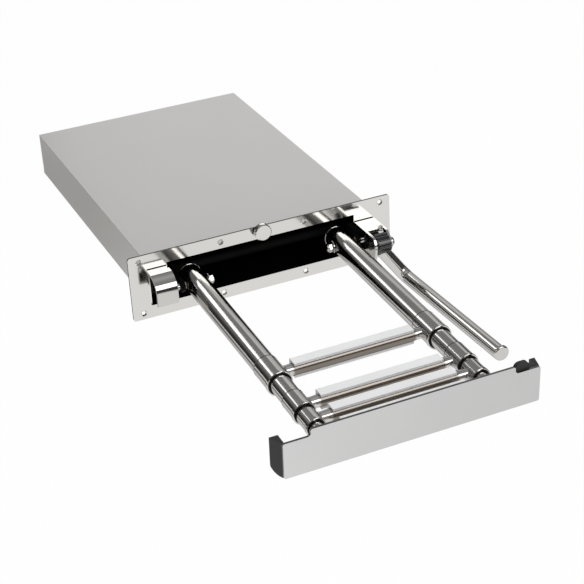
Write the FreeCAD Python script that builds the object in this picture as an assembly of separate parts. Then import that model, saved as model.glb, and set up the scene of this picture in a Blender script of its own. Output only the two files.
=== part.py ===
import FreeCAD, Part
import os
from math import cos, radians, sin

# Retractable telescopic boat ladder in a steel cassette, in millimetres.
# +Z is up, +X is to the right as seen from the front, and +Y goes into the cassette.
# The origin is the centre of the mounting hole pattern, on the flange's back face.
# The ladder comes out towards -Y. It is shown pulled out, closed up and hanging a little down.

os.makedirs("parts", exist_ok=True)

Vec = FreeCAD.Vector
ORIGIN = Vec(0, 0, 0)
ALONG_X = Vec(1, 0, 0)
ALONG_Y = Vec(0, 1, 0)
OUTWARDS = Vec(0, -1, 0)
SIDES = {"left": -1, "right": 1}

# Cassette
flange_width = 408.0
flange_height = 100.0
flange_thickness = 3.0
flange_corner_radius = 4.0
hole_inset_x = 16.0
hole_inset_z = 9.5
strip_hole_span = 130.0
screw_hole_radius = 3.3
countersink_depth = 1.2
box_width = 350.0
box_height = 69.0
box_depth = 520.0
sheet_thickness = 2.0

# Mouth of the cassette
mouth_height = 62.0
mouth_margin = 1.0
mouth_corner_radius = 3.0

# Hook on the left, and the bracket of the grab handle on the right
strap_thickness = 4.0
hook_inset = 27.5
hook_width = 31.0
hook_top = 26.5
hook_drop = 40.5
hook_bend_radius = 24.0
bracket_inset = 30.0
bracket_width = 32.0
bracket_top = 19.5
strap_edge_radius = 0.8

# Telescopic rails, from the top section to the lowest one
rail_inset = 60.2
rail_radii = (16.4, 14.2, 12.0, 9.8)
rail_wall = 1.2
slide_clearance = 0.3
collar_growth = 1.0
ring_growth = 1.2
ring_length = 2.0
collar_starts = (241.0, 323.0, 362.0)
collar_ends = (282.0, 355.0, 387.6)
bush_lengths = (26.0, 22.0, 20.0)
top_bush_length = 12.0
stop_gap = 0.5
rail_tail = 27.0
rail_cap_thickness = 3.0
rail_lip_height = 0.5
rail_lip_length = 2.0
rim_radius = 1.0

# Steps
step_places = (262.0, 340.0, 374.0, 406.0)
step_spacing_open = 280.0
bar_height = 17.0
bar_thickness = 16.0
bar_end_height = 15.6
bar_end_thickness = 14.6
bar_neck_length = 12.0
tread_height = 21.5
tread_thickness = 3.5
tread_lip = 13.0
tread_end_gap = 12.0
tread_rib_count = 6
tread_rib_depth = 1.0
tread_seat = 0.2

# Cover plate at the lower end, with its rubber blocks
plate_margin = 1.5
plate_bottom = -29.5
plate_height = 61.0
plate_drop = 10.0
plate_shoulder_inset = 36.5
plate_shoulder_radius = 6.0
plate_corner_radius = 2.5
plate_thickness = 3.5
plate_front = 429.7
block_overlap = 3.2
block_depth = 19.0
block_flares = {"left": 9.5, "right": 4.5}
block_top_gap = 0.5
block_round = 17.0
block_edge_radius = 1.5
buffer_gap = 1.8
buffer_width = 20.2
buffer_thickness = 6.0
buffer_bottom = -6.0
buffer_rise = 0.8
buffer_radius = 7.0

# Pivot and carriage
pivot_radius = 5.0
pivot_reach = 23.5
pivot_height = 1.4
pivot_clearance = 0.3
nut_radius = 7.5
nut_length = 9.0
nut_dome_length = 3.4
nut_dome_radius = 6.2
washer_radius = 9.5
washer_thickness = 1.6
roller_radius = 12.0
roller_gap = 0.3
roller_arm_gap = 10.2
arm_thickness = 6.0
arm_gap = 2.3
arm_height = 18.0
arm_tail = 78.0
shoe_length = 44.0
cross_bar_radius = 8.0
guide_thickness = 3.0
guide_end_gap = 20.0

# Grab handle
handle_radius = 10.0
hub_reach = 55.0
hub_height = 4.0
hub_radius = 15.5
hub_width = 23.5
hub_rib_count = 16
hub_rib_depth = 1.2
hub_shoulder = 2.5
hub_gap = 0.5
hub_pin_radius = 4.0
hub_pin_head_radius = 5.5
hub_pin_head_length = 3.0
cheek_nose_reach = 14.0
cheek_nose_rise = 4.0
cheek_tip_reach = 10.0
cheek_tip_drop = 23.0
cheek_back_drop = 19.0
ear_radius = 8.0
cheek_thickness = 3.5
handle_root = 11.8
leg_offset = 6.5
handle_overhang = 16.7
handle_elbow_reach = 69.0
handle_elbow_height = -49.5
handle_elbow_radius = 18.0
handle_length = 265.0
handle_rise = 8.0
cap_length = 6.0

# Turning knob
knob_x = -3.0
knob_z = 44.5
knob_radius = 12.5
knob_height = 9.0
knob_groove_depth = 0.9
knob_groove_count = 3
knob_stem_radius = 3.0
knob_gap = 0.3
knob_base_radius = 5.0
knob_tail_radius = 5.0
knob_tail_length = 3.0
knob_base_height = 2.5
knob_rim = 1.2

# Angles in degrees
rest_droop = 2.0


def save(shape, name):
    """Writes one sub-part as a STEP file after checking that it is one valid solid."""
    if len(shape.Solids) != 1:
        raise ValueError(name + " has " + str(len(shape.Solids)) + " solids")
    solid = shape.Solids[0]
    if not solid.isValid() or solid.Volume <= 0:
        raise ValueError(name + " is not a valid solid")
    solid.exportStep("parts/" + name + ".step")
    print(name, round(solid.Volume / 1000, 1), "cm3")


def slab(x0, x1, y0, y1, z0, z1):
    return Part.makeBox(x1 - x0, y1 - y0, z1 - z0, Vec(x0, y0, z0))


def mirrored_slab(side, x0, x1, y0, y1, z0, z1):
    """A slab between two distances from the middle, on the left or on the right."""
    low, high = sorted((side * x0, side * x1))
    return slab(low, high, y0, y1, z0, z1)


def rounded_face(corners, radii):
    """A flat face from a closed outline whose corners are rounded one by one."""
    count = len(corners)
    edges = []
    starts = []
    ends = []
    arcs = []
    for i, corner in enumerate(corners):
        before = corners[i - 1]
        after = corners[(i + 1) % count]
        into = corner.sub(before).normalize()
        out = after.sub(corner).normalize()
        radius = radii[i]
        if radius <= 0:
            starts.append(corner)
            ends.append(corner)
            arcs.append(None)
            continue
        turn = into.getAngle(out)
        cut = radius * sin(turn / 2) / cos(turn / 2)
        start = corner.sub(into * cut)
        end = corner.add(out * cut)
        inward = out.sub(into).normalize()
        middle = corner.add(inward * (radius / cos(turn / 2) - radius))
        starts.append(start)
        ends.append(end)
        arcs.append(Part.Arc(start, middle, end).toShape())
    for i in range(count):
        if arcs[i] is not None:
            edges.append(arcs[i])
        here = ends[i]
        there = starts[(i + 1) % count]
        if here.distanceToPoint(there) > 1e-6:
            edges.append(Part.LineSegment(here, there).toShape())
    return Part.Face(Part.Wire(Part.__sortEdges__(edges)))


def turned(profile, centre, axis):
    """A body of revolution: profile lists (distance along the axis, radius)."""
    side = Vec(0, 0, 1)
    points = [centre.add(axis * along).add(side * radius) for along, radius in profile]
    face = Part.Face(Part.makePolygon(points + [points[0]]))
    return face.revolve(centre, axis, 360)


def rod(centre, axis, start, end, radius):
    return Part.makeCylinder(radius, end - start, centre.add(axis * start), axis)


# Places across the ladder that follow the width of the cassette
rail_centre_x = box_width / 2 - rail_inset
hook_inner_x = box_width / 2 - hook_inset
bracket_inner_x = box_width / 2 - bracket_inset
plate_half_width = box_width / 2 + plate_margin
plate_shoulder_x = plate_half_width - plate_shoulder_inset
buffer_start_x = plate_shoulder_x + buffer_gap
buffer_end_x = buffer_start_x + buffer_width
handle_offset_x = box_width / 2 + handle_overhang

# The ladder is built level, with its pivot at the origin, and then set in place.
pivot_place = Vec(0, -flange_thickness - pivot_reach, pivot_height)


def seat_ladder(shape):
    """Takes a piece from the level ladder to its place at rest."""
    placed = shape.copy()
    placed.rotate(ORIGIN, ALONG_X, rest_droop)
    placed.translate(pivot_place)
    return placed


# Cassette: five sheets behind the flange
half_box = box_width / 2
mouth_half_width = half_box + mouth_margin
half_box_height = box_height / 2
inner_half_width = half_box - sheet_thickness
inner_half_height = half_box_height - sheet_thickness


def cassette_sheets():
    rear = box_depth - sheet_thickness
    return {
        "cassette_top": slab(-half_box, half_box, 0, box_depth, inner_half_height, half_box_height),
        "cassette_bottom": slab(-half_box, half_box, 0, box_depth, -half_box_height, -inner_half_height),
        "cassette_left_side": mirrored_slab(
            -1, inner_half_width, half_box, 0, box_depth, -inner_half_height, inner_half_height),
        "cassette_right_side": mirrored_slab(
            1, inner_half_width, half_box, 0, box_depth, -inner_half_height, inner_half_height),
        "cassette_back": slab(
            -inner_half_width, inner_half_width, rear, box_depth, -inner_half_height, inner_half_height),
    }


def screw_places():
    across = (flange_width / 2 - hole_inset_x, strip_hole_span / 2)
    up = flange_height / 2 - hole_inset_z
    return [(sx * x, sz * up) for x in across for sx in (-1, 1) for sz in (-1, 1)]


def mouth_outline():
    """The opening of the cassette, stepped down at its upper corners for the two straps."""
    top = mouth_height / 2
    left_top = hook_top - strap_thickness
    right_top = bracket_top - strap_thickness
    points = [
        (-mouth_half_width, -top), (mouth_half_width, -top), (mouth_half_width, right_top),
        (bracket_inner_x, right_top), (bracket_inner_x, top), (-hook_inner_x, top),
        (-hook_inner_x, left_top), (-mouth_half_width, left_top),
    ]
    radii = [mouth_corner_radius] * 3 + [0, 0, 0, 0] + [mouth_corner_radius]
    return points, radii


def flange_plate():
    half_width = flange_width / 2
    half_height = flange_height / 2
    corners = [
        Vec(-half_width, 0, -half_height), Vec(half_width, 0, -half_height),
        Vec(half_width, 0, half_height), Vec(-half_width, 0, half_height),
    ]
    plate = rounded_face(corners, [flange_corner_radius] * 4).extrude(OUTWARDS * flange_thickness)
    points, radii = mouth_outline()
    depth = flange_thickness + 2
    mouth = rounded_face([Vec(x, 1, z) for x, z in points], radii).extrude(OUTWARDS * depth)
    plate = plate.cut(mouth)
    for x, z in screw_places():
        front = Vec(x, -flange_thickness, z)
        plate = plate.cut(Part.makeCylinder(screw_hole_radius, depth, Vec(x, 1, z), OUTWARDS))
        sink_radius = screw_hole_radius + countersink_depth
        cone = Part.makeCone(sink_radius, screw_hole_radius, countersink_depth, front, ALONG_Y)
        plate = plate.cut(cone)
    stem_hole = Part.makeCylinder(knob_stem_radius + knob_gap, depth, Vec(knob_x, 1, knob_z), OUTWARDS)
    return plate.cut(stem_hole)


def strap(x0, x1, path, radii):
    """A strap of constant thickness: path is its top line from the flange outwards, as (y, z)."""
    outline = [Vec(x0, y, z) for y, z in path]
    face = rounded_face(outline, radii)
    body = face.extrude(Vec(x1 - x0, 0, 0))
    return body


def hook_left():
    """A strap welded to the flange, bent down in front of the roller to catch it."""
    back = -flange_thickness
    front = back - (pivot_reach + roller_radius + roller_gap + strap_thickness)
    top = hook_top
    under = top - strap_thickness
    low = top - hook_drop
    path = [(back, under), (front + strap_thickness, under), (front + strap_thickness, low),
            (front, low), (front, top), (back, top)]
    inner_radius = hook_bend_radius - strap_thickness
    radii = [0, inner_radius, strap_edge_radius, strap_edge_radius, hook_bend_radius, 0]
    return strap(-hook_inner_x - hook_width, -hook_inner_x, path, radii)


hub_place = Vec(0, -flange_thickness - hub_reach, hub_height)
bracket_right_x = bracket_inner_x + bracket_width
cheek_right_x = bracket_right_x - cheek_thickness
hub_left_x = bracket_inner_x + cheek_thickness + hub_gap
hub_right_x = hub_left_x + hub_width
strap_front = hub_place.y + hub_radius + 3 * hub_gap


def cheek_left():
    """The large side plate of the bracket: it runs down to a point in front of the mouth."""
    under = bracket_top - strap_thickness
    outline = [
        (strap_front, under), (strap_front, hub_place.z - cheek_back_drop),
        (hub_place.y - cheek_tip_reach, hub_place.z - cheek_tip_drop),
        (hub_place.y - cheek_nose_reach, hub_place.z + cheek_nose_rise),
        (hub_place.y - cheek_nose_reach / 2, bracket_top), (strap_front, bracket_top),
    ]
    points = [Vec(bracket_inner_x, y, z) for y, z in outline]
    radii = [0, ear_radius, 2 * strap_edge_radius, cheek_nose_reach, cheek_nose_reach / 2, 0]
    return rounded_face(points, radii).extrude(Vec(cheek_thickness, 0, 0))


def cheek_right():
    """The small ear on the right, round in front about the hinge pin."""
    under = bracket_top - strap_thickness
    radius = ear_radius
    outline = [
        (strap_front, under), (strap_front, hub_place.z - radius), (hub_place.y, hub_place.z - radius),
        (hub_place.y - radius, hub_place.z), (strap_front - hub_radius / 2, bracket_top),
        (strap_front, bracket_top),
    ]
    points = [Vec(cheek_right_x, y, z) for y, z in outline]
    side = Part.Face(Part.makePolygon(points + [points[0]])).extrude(Vec(cheek_thickness, 0, 0))
    nose = Part.makeCylinder(radius, cheek_thickness, Vec(cheek_right_x, hub_place.y, hub_place.z), ALONG_X)
    return side.fuse(nose)


def handle_bracket():
    """A strap on the right that covers the roller and ends in two cheeks for the grab handle."""
    under = bracket_top - strap_thickness
    body = slab(bracket_inner_x, bracket_right_x, strap_front, -flange_thickness, under, bracket_top)
    body = body.fuse([cheek_left(), cheek_right()])
    pin_hole = Part.makeCylinder(
        hub_pin_radius, bracket_width + 2, Vec(bracket_inner_x - 1, hub_place.y, hub_place.z), ALONG_X)
    return body.cut(pin_hole).removeSplitter()


# Carriage: two arms with shoes, joined by a cross bar, and a roller on each pivot pin
arm_inner_x = rail_centre_x + rail_radii[0] + arm_gap
arm_outer_x = arm_inner_x + arm_thickness
roller_outer_x = inner_half_width - guide_thickness - roller_gap
roller_inner_x = arm_outer_x + roller_arm_gap
roller_width = roller_outer_x - roller_inner_x


def guide(side):
    """A channel along the side of the cassette that carries the roller and the shoe."""
    inside = roller_radius + roller_gap
    inner_x = inner_half_width - roller_width - 2 * roller_gap - guide_thickness
    rear = box_depth - sheet_thickness - guide_end_gap
    outer = mirrored_slab(side, inner_x, inner_half_width, 0, rear,
                          pivot_height - inside - guide_thickness, pivot_height + inside + guide_thickness)
    hollow = mirrored_slab(side, inner_x - 1, inner_half_width - guide_thickness, -1, rear + 1,
                           pivot_height - inside, pivot_height + inside)
    return outer.cut(hollow)


def carriage_frame():
    shoe_half = roller_radius
    tail_y = pivot_place.y + arm_tail
    shoe_y0 = tail_y - shoe_length
    cross_bar_y = tail_y - shoe_length / 2
    pieces = [Part.makeCylinder(cross_bar_radius, 2 * arm_inner_x,
                                Vec(-arm_inner_x, cross_bar_y, pivot_height), ALONG_X)]
    bores = []
    for side in SIDES.values():
        low = side * arm_inner_x if side > 0 else side * arm_outer_x
        arm = mirrored_slab(side, arm_inner_x, arm_outer_x, pivot_place.y, tail_y,
                            pivot_height - arm_height / 2, pivot_height + arm_height / 2)
        nose = Part.makeCylinder(arm_height / 2, arm_thickness, Vec(low, pivot_place.y, pivot_height), ALONG_X)
        shoe = mirrored_slab(side, arm_outer_x, roller_outer_x, shoe_y0, tail_y,
                             pivot_height - shoe_half, pivot_height + shoe_half)
        pieces += [arm, nose, shoe]
        bores.append(Part.makeCylinder(pivot_radius, arm_thickness + 2,
                                       Vec(low - 1, pivot_place.y, pivot_height), ALONG_X))
    body = pieces[0].fuse(pieces[1:])
    return body.cut(Part.makeCompound(bores)).removeSplitter()


def along_side(side, x0):
    """The point on the pivot axis at x0 from the middle, and the direction away from the middle."""
    return Vec(side * x0, pivot_place.y, pivot_place.z), ALONG_X * side


def roller(side):
    start, axis = along_side(side, roller_inner_x)
    rim = rim_radius
    profile = [(0, pivot_radius), (0, roller_radius - rim), (rim, roller_radius),
               (roller_width - rim, roller_radius), (roller_width, roller_radius - rim),
               (roller_width, pivot_radius)]
    return turned(profile, start, axis)


def pivot_pin(side):
    """A bolt through the rail, the arm and the roller, with a domed nut on the inner side."""
    rail_face = rail_centre_x - rail_radii[0]
    washer_x = rail_face - washer_thickness - pivot_clearance
    start, axis = along_side(side, washer_x - nut_length)
    washer_end = nut_length + washer_thickness
    tip = roller_outer_x - (washer_x - nut_length)
    profile = [
        (0, 0), (0, nut_dome_radius / 4), (nut_dome_length / 8, nut_dome_radius / 2),
        (nut_dome_length / 3, nut_dome_radius * 0.8), (nut_dome_length * 0.7, nut_dome_radius),
        (nut_length, nut_dome_radius), (nut_length, washer_radius), (washer_end, washer_radius),
        (washer_end, pivot_radius), (tip, pivot_radius), (tip, 0),
    ]
    base = start.add(axis * nut_dome_length)
    corners = [base.add(Vec(0, cos(radians(60 * i)), sin(radians(60 * i))) * nut_radius) for i in range(7)]
    hexagon = Part.Face(Part.makePolygon(corners)).extrude(axis * (nut_length - nut_dome_length))
    return turned(profile, start, axis).fuse(hexagon).removeSplitter()


# Telescopic sections
rail_bores = [radius - rail_wall for radius in rail_radii]
slide_ranges = [step_spacing_open - (step_places[i + 1] - step_places[i]) for i in range(3)]


def rail_start(section):
    """How far from the pivot an inner tube begins, so that its top bush stops at the collar."""
    bush = collar_ends[section - 1] - bush_lengths[section - 1]
    return bush - slide_ranges[section - 1] - top_bush_length - stop_gap


def collar_profile(section):
    """The outline of the collar at the lower end of a rail, outside then inside."""
    radius = rail_radii[section]
    outer = radius + collar_growth
    start = collar_starts[section]
    end = collar_ends[section]
    bore = rail_radii[section + 1] + slide_clearance
    edge = collar_growth
    return [
        (start, radius), (start + edge, outer), (end - edge, outer), (end, outer - edge), (end, bore),
        (end - bush_lengths[section], bore), (end - bush_lengths[section], rail_bores[section]),
    ]


def rail(section, side):
    """One tube of the ladder with its bush at the top and its collar at the bottom."""
    centre = Vec(side * rail_centre_x, 0, 0)
    radius = rail_radii[section]
    inner = rail_bores[section]
    if section == 0:
        lip = radius + rail_lip_height
        profile = [(-rail_tail, 0), (-rail_tail, lip - rim_radius), (-rail_tail + rim_radius, lip),
                   (-rail_tail + rail_lip_length, lip), (-rail_tail + rail_lip_length, radius)]
        closing = [(-rail_tail + rail_cap_thickness, inner), (-rail_tail + rail_cap_thickness, 0)]
    else:
        start = rail_start(section)
        bush_radius = rail_bores[section - 1] - slide_clearance
        profile = [(start, inner), (start, bush_radius), (start + top_bush_length, bush_radius),
                   (start + top_bush_length, radius)]
        closing = []
    if section < 3:
        profile += collar_profile(section)
    else:
        plate_back = plate_front - plate_thickness
        profile += [(plate_back, radius), (plate_back, inner)]
    tube = turned(profile + closing, centre, OUTWARDS)
    if section == 0:
        hole = Part.makeCylinder(pivot_radius + pivot_clearance, 4 * radius,
                                 centre.sub(ALONG_X * (2 * radius)), ALONG_X)
        tube = tube.cut(hole)
    return tube


def ring(section, side):
    """A black ring at the mouth of a collar."""
    centre = Vec(side * rail_centre_x, 0, 0)
    outer = rail_radii[section] + ring_growth
    inner = rail_radii[section + 1] + slide_clearance
    start = collar_ends[section]
    end = start + ring_length
    edge = ring_length / 3
    profile = [(start, inner), (start, outer - edge), (start + edge, outer), (end - edge, outer),
               (end, outer - edge), (end, inner)]
    return turned(profile, centre, OUTWARDS)


def collar_radius(section):
    return rail_radii[section] + (collar_growth if section < 3 else 0)


def oval_wire(x, height, thickness, place):
    """A racetrack outline across the step bar at x."""
    flat = (height - thickness) / 2
    half = thickness / 2
    y = -place
    a = Vec(x, y - half, -flat)
    b = Vec(x, y - half, flat)
    c = Vec(x, y, flat + half)
    d = Vec(x, y + half, flat)
    e = Vec(x, y + half, -flat)
    f = Vec(x, y, -flat - half)
    edges = [Part.LineSegment(a, b).toShape(), Part.Arc(b, c, d).toShape(),
             Part.LineSegment(d, e).toShape(), Part.Arc(e, f, a).toShape()]
    return Part.Wire(edges)


def step_bar(section):
    """A nearly round tube whose ends are drawn in a little where they meet the collars."""
    place = step_places[section]
    end_x = rail_centre_x
    neck_outer = rail_centre_x - collar_radius(section) - 1
    neck_inner = neck_outer - bar_neck_length
    body = Part.makeLoft([oval_wire(-neck_inner, bar_height, bar_thickness, place),
                          oval_wire(neck_inner, bar_height, bar_thickness, place)], True)
    for side in SIDES.values():
        neck = Part.makeLoft([oval_wire(side * neck_inner, bar_height, bar_thickness, place),
                              oval_wire(side * neck_outer, bar_end_height, bar_end_thickness, place)], True)
        stub = Part.makeLoft([oval_wire(side * neck_outer, bar_end_height, bar_end_thickness, place),
                              oval_wire(side * end_x, bar_end_height, bar_end_thickness, place)], True)
        body = body.fuse([neck, stub])
    for side in SIDES.values():
        post = rod(Vec(side * rail_centre_x, 0, 0), OUTWARDS, place - 40, place + 40, collar_radius(section))
        body = body.cut(post)
    solids = sorted(body.Solids, key=lambda solid: solid.Volume)
    return solids[-1].removeSplitter()


def step_tread(section):
    """A ribbed channel that clips over the step bar from behind."""
    place = step_places[section]
    half_length = rail_centre_x - rail_radii[0] - tread_end_gap
    back = -place + bar_thickness / 2 + tread_thickness
    front = -place + bar_thickness / 2 - tread_lip
    half_height = tread_height / 2
    corners = [Vec(-half_length, front, -half_height), Vec(-half_length, back, -half_height),
               Vec(-half_length, back, half_height), Vec(-half_length, front, half_height)]
    body = rounded_face(corners, [0, 2.5, 2.5, 0]).extrude(Vec(2 * half_length, 0, 0))
    core = Part.Face(oval_wire(-half_length - 1, bar_height + 2 * tread_seat,
                               bar_thickness + 2 * tread_seat, place))
    body = body.cut(core.extrude(Vec(2 * half_length + 2, 0, 0)))
    pitch = (tread_height - 4) / tread_rib_count
    grooves = []
    for i in range(tread_rib_count):
        z = -half_height + 2 + pitch * (i + 0.25)
        grooves.append(slab(-half_length - 1, half_length + 1, back - tread_rib_depth, back + 1,
                            z, z + pitch / 2))
    body = body.cut(Part.makeCompound(grooves))
    solids = sorted(body.Solids, key=lambda solid: solid.Volume)
    return solids[-1]


def cover_plate():
    """The front plate, full height in the middle and lower at both ends."""
    top = plate_bottom + plate_height
    low_top = top - plate_drop
    half = plate_half_width
    shoulder = plate_shoulder_x
    points = [(-half, plate_bottom), (half, plate_bottom), (half, low_top), (shoulder, low_top),
              (shoulder, top), (-shoulder, top), (-shoulder, low_top), (-half, low_top)]
    corner = plate_corner_radius
    hollow = min(plate_shoulder_radius, plate_drop / 2)
    radii = [corner, corner, corner, hollow, corner, corner, hollow, corner]
    outline = [Vec(x, -plate_front + plate_thickness, z) for x, z in points]
    return rounded_face(outline, radii).extrude(OUTWARDS * plate_thickness)


def end_block(side_name):
    """A rubber bumper behind the end of the cover plate, flared outwards and rounded below."""
    side = SIDES[side_name]
    front = -plate_front + plate_thickness
    rear = front + block_depth
    low_top = plate_bottom + plate_height - plate_drop - block_top_gap
    inner = plate_half_width - block_overlap
    outer = plate_half_width + block_flares[side_name]
    plan = [(inner, front), (plate_half_width, front), (outer, rear), (inner, rear)]
    wedge = rounded_face([Vec(side * x, y, plate_bottom) for x, y in plan], [0, 0, block_edge_radius, 0])
    wedge = wedge.extrude(Vec(0, 0, low_top - plate_bottom))
    outline = [(front, plate_bottom), (front, low_top), (rear, low_top), (rear, plate_bottom)]
    low = min(side * inner, side * outer)
    profile = rounded_face([Vec(low, y, z) for y, z in outline], [0, 0, block_edge_radius, block_round])
    body = wedge.common(profile.extrude(Vec(outer - inner, 0, 0)))
    if side > 0:
        body = body.fuse(buffer_tab(front, inner, low_top)).removeSplitter()
    return body


def buffer_tab(front, inner, low_top):
    """The round tab of the right bumper, which looks over the lowered edge of the plate."""
    top = plate_bottom + plate_height + buffer_rise
    points = [(buffer_start_x, buffer_bottom), (inner, buffer_bottom), (inner, low_top),
              (buffer_end_x, low_top), (buffer_end_x, top), (buffer_start_x, top)]
    radii = [block_edge_radius, 0, 0, block_edge_radius, buffer_radius, buffer_radius]
    return rounded_face([Vec(x, front, z) for x, z in points], radii).extrude(ALONG_Y * buffer_thickness)


# Grab handle, built with its hinge at hub_place
def handle_axis_points():
    middle_x = (hub_left_x + hub_right_x) / 2 - leg_offset
    start = Vec(middle_x, hub_place.y, hub_place.z)
    elbow = Vec(handle_offset_x, -flange_thickness - handle_elbow_reach, handle_elbow_height)
    end = Vec(handle_offset_x, elbow.y - handle_length, handle_elbow_height + handle_rise)
    return start, elbow, end


def handle_tube():
    """The handle's tube: a short leg from the hub, a bend, and the long grip."""
    start, elbow, end = handle_axis_points()
    into = elbow.sub(start).normalize()
    out = end.sub(elbow).normalize()
    turn = into.getAngle(out)
    cut = handle_elbow_radius * sin(turn / 2) / cos(turn / 2)
    arc_start = elbow.sub(into * cut)
    arc_end = elbow.add(out * cut)
    inward = out.sub(into).normalize()
    arc_middle = elbow.add(inward * (handle_elbow_radius / cos(turn / 2) - handle_elbow_radius))
    leg_start = start.add(into * handle_root)
    path = Part.Wire([
        Part.LineSegment(leg_start, arc_start).toShape(),
        Part.Arc(arc_start, arc_middle, arc_end).toShape(),
        Part.LineSegment(arc_end, end).toShape(),
    ])
    ring_wire = Part.Wire(Part.makeCircle(handle_radius, leg_start, into))
    return path.makePipeShell([ring_wire], True, True)


def handle_hub():
    """The ribbed knuckle between the cheeks, bored for the tube, with the hinge pin."""
    start, elbow, end = handle_axis_points()
    into = elbow.sub(start).normalize()
    width = hub_right_x - hub_left_x
    low = hub_radius - hub_shoulder
    profile = [(0, 0), (0, low), (hub_shoulder, hub_radius), (width - hub_shoulder, hub_radius),
               (width, low), (width, 0)]
    centre = Vec(hub_left_x, hub_place.y, hub_place.z)
    body = turned(profile, centre, ALONG_X)
    grooves = []
    for i in range(hub_rib_count):
        angle = radians(360.0 * i / hub_rib_count)
        out = Vec(0, cos(angle), sin(angle))
        place = centre.add(out * (hub_radius + 0.2))
        grooves.append(Part.makeCylinder(hub_rib_depth, width, place, ALONG_X))
    body = body.cut(Part.makeCompound(grooves))
    bore = Part.makeCylinder(handle_radius, 3 * hub_radius, start.add(into * handle_root), into)
    pin = Part.makeCylinder(hub_pin_radius - hub_gap / 2, bracket_width,
                            Vec(bracket_inner_x, hub_place.y, hub_place.z), ALONG_X)
    heads = [
        Part.makeCylinder(hub_pin_head_radius, hub_pin_head_length,
                          Vec(x, hub_place.y, hub_place.z), ALONG_X)
        for x in (bracket_inner_x - hub_pin_head_length, bracket_right_x)
    ]
    return body.cut(bore).fuse([pin] + heads).removeSplitter()


def handle_cap():
    """The domed end of the grip."""
    start, elbow, end = handle_axis_points()
    out = end.sub(elbow).normalize()
    radius = handle_radius
    ball_radius = (radius * radius + cap_length * cap_length) / (2 * cap_length)
    centre = end.sub(out * (ball_radius - cap_length))
    ball = Part.makeSphere(ball_radius, centre)
    keep = Part.makeCylinder(radius, cap_length + 1, end, out)
    return ball.common(keep)


def knob_base():
    place = Vec(knob_x, -flange_thickness, knob_z)
    bore = knob_stem_radius + knob_gap
    profile = [(0, bore), (0, knob_base_radius), (knob_base_height - 0.5, knob_base_radius),
               (knob_base_height, knob_base_radius - 0.5), (knob_base_height, bore)]
    return turned(profile, place, OUTWARDS)


def lock_knob():
    """A turned knob with grooves round its rim and a stem through the flange."""
    place = Vec(knob_x, -flange_thickness, knob_z)
    start = knob_base_height + knob_gap
    end = start + knob_height
    tail = -flange_thickness - knob_gap
    profile = [(tail - knob_tail_length, 0), (tail - knob_tail_length, knob_tail_radius),
               (tail, knob_tail_radius), (tail, knob_stem_radius), (start, knob_stem_radius),
               (start, knob_radius - knob_rim), (start + knob_rim, knob_radius)]
    pitch = (knob_height - 2 * knob_rim) / (knob_groove_count + 1)
    for i in range(knob_groove_count):
        middle = start + knob_rim + pitch * (i + 1)
        profile += [(middle - pitch / 4, knob_radius), (middle, knob_radius - knob_groove_depth),
                    (middle + pitch / 4, knob_radius)]
    profile += [(end - knob_rim, knob_radius), (end, knob_radius - knob_rim), (end, 0)]
    return turned(profile, place, OUTWARDS)


for name, shape in cassette_sheets().items():
    save(shape, name)
save(flange_plate(), "flange_plate")
save(hook_left(), "hook_left")
save(handle_bracket(), "handle_bracket")
save(knob_base(), "knob_base")
save(lock_knob(), "lock_knob")
save(carriage_frame(), "carriage_frame")
for side_name, side in SIDES.items():
    save(guide(side), "guide_" + side_name)
    save(roller(side), "roller_" + side_name)
    save(pivot_pin(side), "pivot_pin_" + side_name)
    for section in range(4):
        save(seat_ladder(rail(section, side)), "rail_" + str(section + 1) + "_" + side_name)
    for section in range(3):
        save(seat_ladder(ring(section, side)), "ring_" + str(section + 1) + "_" + side_name)
    save(seat_ladder(end_block(side_name)), "end_block_" + side_name)
for section in range(4):
    save(seat_ladder(step_bar(section)), "step_" + str(section + 1) + "_bar")
    save(seat_ladder(step_tread(section)), "step_" + str(section + 1) + "_tread")
save(seat_ladder(cover_plate()), "cover_plate")
save(handle_tube(), "handle_tube")
save(handle_hub(), "handle_hub")
save(handle_cap(), "handle_cap")
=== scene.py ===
import math

import bmesh
import bpy
from bpy.props import FloatProperty, FloatVectorProperty, IntProperty, PointerProperty
from mathutils import Matrix, Vector


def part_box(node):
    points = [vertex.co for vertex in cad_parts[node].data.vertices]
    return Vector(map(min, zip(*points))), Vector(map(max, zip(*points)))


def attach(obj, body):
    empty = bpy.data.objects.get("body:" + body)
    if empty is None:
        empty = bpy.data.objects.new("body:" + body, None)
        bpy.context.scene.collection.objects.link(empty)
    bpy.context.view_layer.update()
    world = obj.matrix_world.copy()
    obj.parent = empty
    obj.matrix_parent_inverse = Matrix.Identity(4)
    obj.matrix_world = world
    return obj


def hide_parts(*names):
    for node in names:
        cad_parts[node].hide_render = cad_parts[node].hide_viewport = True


bl_info = {
    "name": "Retractable boat ladder",
    "version": (1, 0, 0),
    "blender": (4, 5, 0),
    "location": "View3D > Sidebar > Ladder",
    "description": "Finishes, small parts and studio for a telescopic boat ladder in its cassette",
    "category": "Object",
}

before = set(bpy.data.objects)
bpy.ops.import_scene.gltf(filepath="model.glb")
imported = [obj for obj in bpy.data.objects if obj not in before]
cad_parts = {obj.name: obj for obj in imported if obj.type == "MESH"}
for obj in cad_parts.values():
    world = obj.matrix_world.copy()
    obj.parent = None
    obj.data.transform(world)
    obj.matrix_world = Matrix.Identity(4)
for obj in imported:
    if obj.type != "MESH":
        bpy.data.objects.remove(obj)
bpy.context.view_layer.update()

SIDES = ("left", "right")
SIGN = {"left": -1.0, "right": 1.0}
STEP_BODIES = ("ladder", "section_2", "section_3", "section_4")
ALONG_X = (1.0, 0.0, 0.0)
ALONG_Z = (0.0, 0.0, 1.0)

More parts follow.
